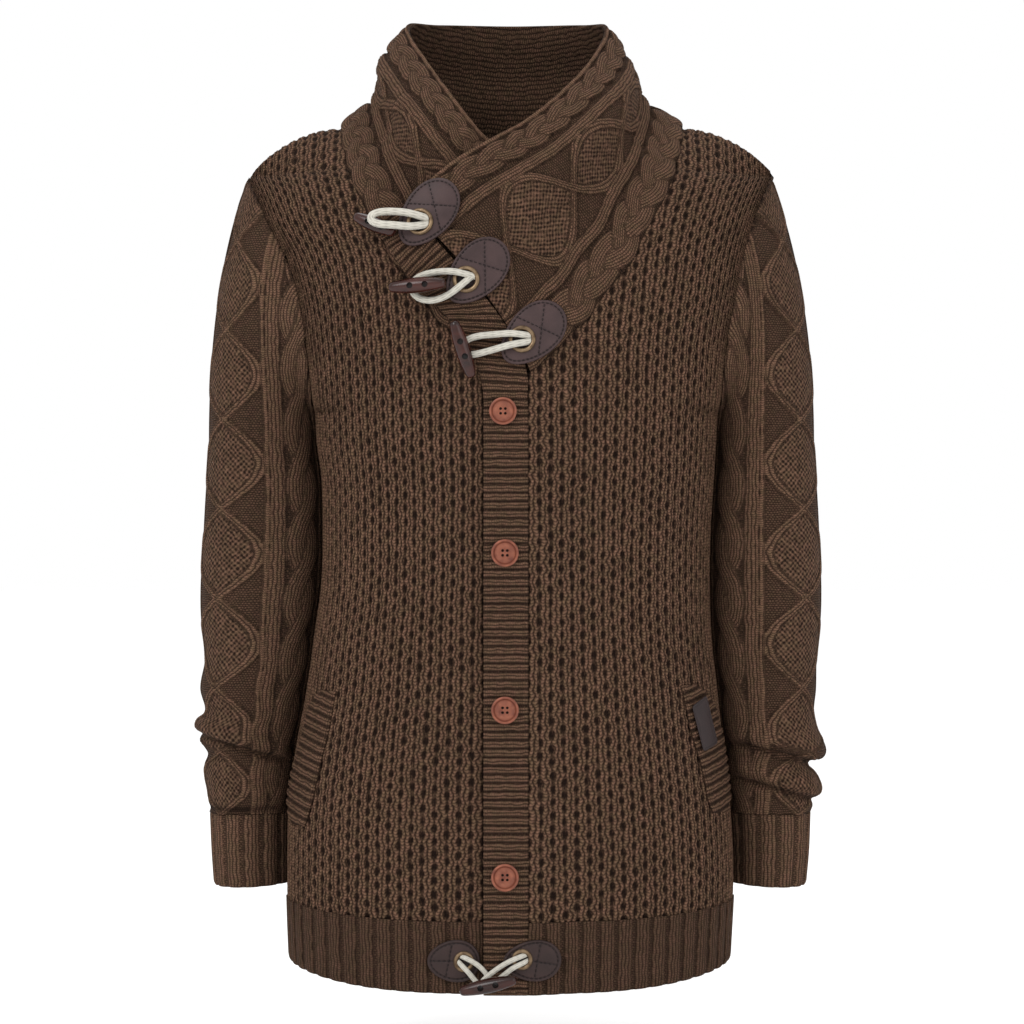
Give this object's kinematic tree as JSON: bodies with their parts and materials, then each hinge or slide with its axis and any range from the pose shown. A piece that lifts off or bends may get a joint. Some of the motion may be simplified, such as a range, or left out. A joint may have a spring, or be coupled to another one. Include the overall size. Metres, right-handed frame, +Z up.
{
  "type": "shawl collar cardigan",
  "caption": "Chunky knitted cardigan, worn form: wide wrapped shawl collar, waffle body, cabled sleeves, buttoned band, leather patches with cord toggles.",
  "frame": {"origin": "between the shoulders, level with the two neck points, midway from front to back, where the wearer's shoulders hold it", "axes": "+Z up, the buttoned front faces -Y, the wearer's left is +X"},
  "size_m": [0.529, 0.2625, 0.8159],
  "materials": {
    "body": "chunky waffle knit, brown",
    "sleeve": "cable knit, brown",
    "rib": "2x2 rib knit, brown",
    "collar": "cable and moss knit, brown",
    "patch": "purple-brown leather, satin",
    "tab": "dark leather, satin",
    "button": "terracotta horn look, semi-gloss",
    "toggle": "polished red-brown",
    "eyelet": "antique brass",
    "cord": "off-white cotton cord"
  },
  "bodies": {
    "root": {"back": "body", "band_top": "rib", "band_under": "rib", "button_1": "button", "button_2": "button", "button_3": "button", "button_4": "button", "collar": "collar", "cord_hem_left": "cord", "cord_hem_right": "cord", "cord_low": "cord", "cord_middle": "cord", "cord_top": "cord", "cuff_left": "rib", "cuff_right": "rib", "eyelet_hem_left": "eyelet", "eyelet_hem_right": "eyelet", "eyelet_low": "eyelet", "eyelet_middle": "eyelet", "eyelet_top": "eyelet", "front_left": "body", "front_right": "body", "hem_back": "rib", "hem_left": "rib", "hem_right": "rib", "patch_hem_left": "patch", "patch_hem_right": "patch", "patch_low": "patch", "patch_middle": "patch", "patch_top": "patch", "sleeve_left": "sleeve", "sleeve_right": "sleeve", "toggle_hem": "toggle", "toggle_low": "toggle", "toggle_middle": "toggle", "toggle_top": "toggle", "welt_left": "rib", "welt_right": "rib", "welt_tab": "tab"}
  },
  "joints": []
}
